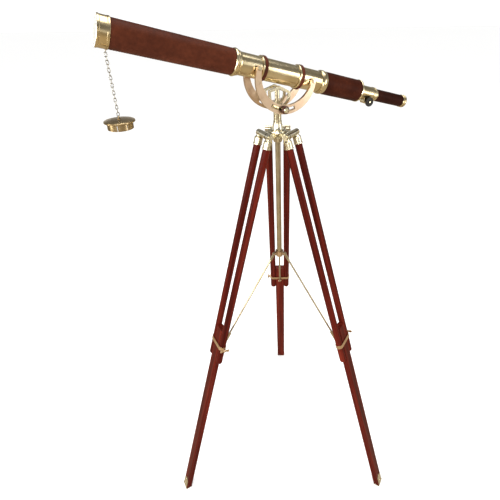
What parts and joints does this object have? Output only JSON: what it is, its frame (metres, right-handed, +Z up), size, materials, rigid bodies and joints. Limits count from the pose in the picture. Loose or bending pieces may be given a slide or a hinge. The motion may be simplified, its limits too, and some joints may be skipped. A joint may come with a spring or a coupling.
{
  "type": "telescope on tripod",
  "caption": "Leather-wrapped brass refracting telescope in half-moon mounts on a folding wooden tripod with spreaders, sliding legs and a chained lens cap.",
  "frame": {"origin": "on the floor under the column axis, at the centre of the circle through the three feet", "axes": "+Z up along the column; -Y faces the front, and the rear leg points along +Y"},
  "size_m": [0.8281, 0.6997, 1.6939],
  "materials": {
    "brass": "polished",
    "spreader_brass": "satin, pale",
    "mahogany": "gloss varnish",
    "brown_leather": "smooth, waxed",
    "dark_leather": "smooth, waxed",
    "ring_leather": "smooth",
    "knob_brown": "polished",
    "knob_black": "knurled, satin",
    "lens_glass": "polished",
    "chain_steel": "plated"
  },
  "bodies": {
    "hub": {"hub_casting": "brass", "swivel_socket": "brass", "leg_pivot_bars": "brass", "column_tube": "spreader_brass", "column_stop_nut": "brass"},
    "collar": {"spreader_collar": "brass", "collar_pins": "brass"},
    "leg_left": {"rod_sockets_left": "brass", "upper_rods_left": "mahogany", "clamp_strap_left": "brass"},
    "lower_leg_left": {"lower_leg_left": "mahogany", "foot_shoe_left": "brass"},
    "wing_screw_left": {"wing_screw_left": "brass"},
    "spreader_left": {"spreader_left": "spreader_brass"},
    "leg_right": {"rod_sockets_right": "brass", "upper_rods_right": "mahogany", "clamp_strap_right": "brass"},
    "lower_leg_right": {"lower_leg_right": "mahogany", "foot_shoe_right": "brass"},
    "wing_screw_right": {"wing_screw_right": "brass"},
    "spreader_right": {"spreader_right": "spreader_brass"},
    "leg_rear": {"rod_sockets_rear": "brass", "upper_rods_rear": "mahogany", "clamp_strap_rear": "brass"},
    "lower_leg_rear": {"lower_leg_rear": "mahogany", "foot_shoe_rear": "brass"},
    "wing_screw_rear": {"wing_screw_rear": "brass"},
    "spreader_rear": {"spreader_rear": "spreader_brass"},
    "post": {"swivel_post": "brass", "post_head": "brass", "clamp_bolt": "brass"},
    "clamp_knob": {"clamp_knob": "knob_brown", "clamp_knob_cap": "brass"},
    "telescope": {"half_moon_front": "brass", "half_moon_rear": "brass", "half_moon_bolts": "brass", "saddle_rings": "brass", "saddle_leathers": "ring_leather", "objective_cell": "brass", "objective_lens": "lens_glass", "lens_retainer": "brass", "front_tube": "brass", "front_leather": "brown_leather", "front_bead": "brass", "main_tube": "brass", "rear_bead": "brass", "rear_leather": "dark_leather", "rear_flange": "brass", "focuser_body": "brass", "chain_eye": "chain_steel"},
    "draw": {"draw_tube": "brass", "focus_rack": "brass", "draw_ring": "brass", "eyepiece_leather": "dark_leather", "eyepiece_ring": "brass", "eyepiece_lenses": "lens_glass"},
    "pinion": {"focus_pinion": "brass", "focus_knob": "knob_black"},
    "chain": {"cap_chain": "chain_steel"},
    "cap": {"lens_cap": "brass"}
  },
  "joints": [
    {"name": "collar_slide", "type": "slide", "parent": "hub", "child": "collar", "axis": [0, 0, 1], "range_m": [0, 0.03901]},
    {"name": "leg_fold_left", "type": "hinge", "parent": "hub", "child": "leg_left", "pos_m": [-0.03724, -0.0215, 1.38], "axis": [0.5, -0.866, 0], "range_deg": [0, 13]},
    {"name": "leg_extend_left", "type": "slide", "parent": "leg_left", "child": "lower_leg_left", "axis": [0.2417, 0.1395, 0.9603], "range_m": [0, 0.56]},
    {"name": "wing_screw_turn_left", "type": "hinge", "parent": "leg_left", "child": "wing_screw_left", "pos_m": [-0.19171, -0.15687, 0.68668], "axis": [0.5, -0.866, 0], "range_deg": [0, 720]},
    {"name": "spreader_swing_left", "type": "hinge", "parent": "collar", "child": "spreader_left", "pos_m": [-0.01732, -0.01, 0.971], "axis": [0.5, -0.866, 0], "range_deg": [0, 28.35]},
    {"name": "leg_fold_right", "type": "hinge", "parent": "hub", "child": "leg_right", "pos_m": [0.03724, -0.0215, 1.38], "axis": [0.5, 0.866, 0], "range_deg": [0, 13]},
    {"name": "leg_extend_right", "type": "slide", "parent": "leg_right", "child": "lower_leg_right", "axis": [-0.2417, 0.1395, 0.9603], "range_m": [0, 0.56]},
    {"name": "wing_screw_turn_right", "type": "hinge", "parent": "leg_right", "child": "wing_screw_right", "pos_m": [0.23171, -0.08759, 0.68668], "axis": [0.5, 0.866, 0], "range_deg": [0, 720]},
    {"name": "spreader_swing_right", "type": "hinge", "parent": "collar", "child": "spreader_right", "pos_m": [0.01732, -0.01, 0.971], "axis": [0.5, 0.866, 0], "range_deg": [0, 28.35]},
    {"name": "leg_fold_rear", "type": "hinge", "parent": "hub", "child": "leg_rear", "pos_m": [0, 0.043, 1.38], "axis": [-1, 0, 0], "range_deg": [0, 13]},
    {"name": "leg_extend_rear", "type": "slide", "parent": "leg_rear", "child": "lower_leg_rear", "axis": [0, -0.279, 0.9603], "range_m": [0, 0.56]},
    {"name": "wing_screw_turn_rear", "type": "hinge", "parent": "leg_rear", "child": "wing_screw_rear", "pos_m": [-0.04, 0.24446, 0.68668], "axis": [-1, 0, 0], "range_deg": [0, 720]},
    {"name": "spreader_swing_rear", "type": "hinge", "parent": "collar", "child": "spreader_rear", "pos_m": [0, 0.02, 0.971], "axis": [-1, 0, 0], "range_deg": [0, 28.35]},
    {"name": "azimuth_swivel", "type": "hinge", "parent": "hub", "child": "post", "pos_m": [0, 0, 1.4], "axis": [0, 0, 1], "continuous": true},
    {"name": "tilt", "type": "hinge", "parent": "post", "child": "telescope", "pos_m": [0.00881, 0.00474, 1.53], "axis": [-0.4741, 0.8805, 0], "range_deg": [-25.5, 19.5]},
    {"name": "clamp_knob_turn", "type": "hinge", "parent": "post", "child": "clamp_knob", "pos_m": [0.02133, -0.03962, 1.45244], "axis": [-0.4741, 0.8805, 0], "range_deg": [0, 720]},
    {"name": "draw_slide", "type": "slide", "parent": "telescope", "child": "draw", "axis": [0.8485, 0.4568, -0.2672], "range_m": [0, 0.05]},
    {"name": "focus_turn", "type": "hinge", "parent": "telescope", "child": "pinion", "pos_m": [0.27174, 0.14632, 1.43369], "axis": [-0.4741, 0.8805, 0], "range_deg": [-0.5, 717]},
    {"name": "chain_swing", "type": "hinge", "parent": "telescope", "child": "chain", "pos_m": [-0.36486, -0.19645, 1.61625], "axis": [-0.4741, 0.8805, 0], "range_deg": [-60, 60]},
    {"name": "cap_swing", "type": "hinge", "parent": "chain", "child": "cap", "pos_m": [-0.36486, -0.19645, 1.4829], "axis": [-0.4741, 0.8805, 0], "range_deg": [-40, 40]}
  ],
  "couplings": [
    {"joint": "leg_fold_left", "follows": "leg_fold_rear", "ratio": 1},
    {"joint": "leg_fold_right", "follows": "leg_fold_rear", "ratio": 1},
    {"joint": "collar_slide", "follows": "leg_fold_rear", "m_per_rad": 0.16974},
    {"joint": "spreader_swing_left", "follows": "leg_fold_rear", "ratio": 2.1769},
    {"joint": "spreader_swing_right", "follows": "leg_fold_rear", "ratio": 2.1769},
    {"joint": "spreader_swing_rear", "follows": "leg_fold_rear", "ratio": 2.1769},
    {"joint": "focus_turn", "follows": "draw_slide", "rad_per_m": 250}
  ]
}
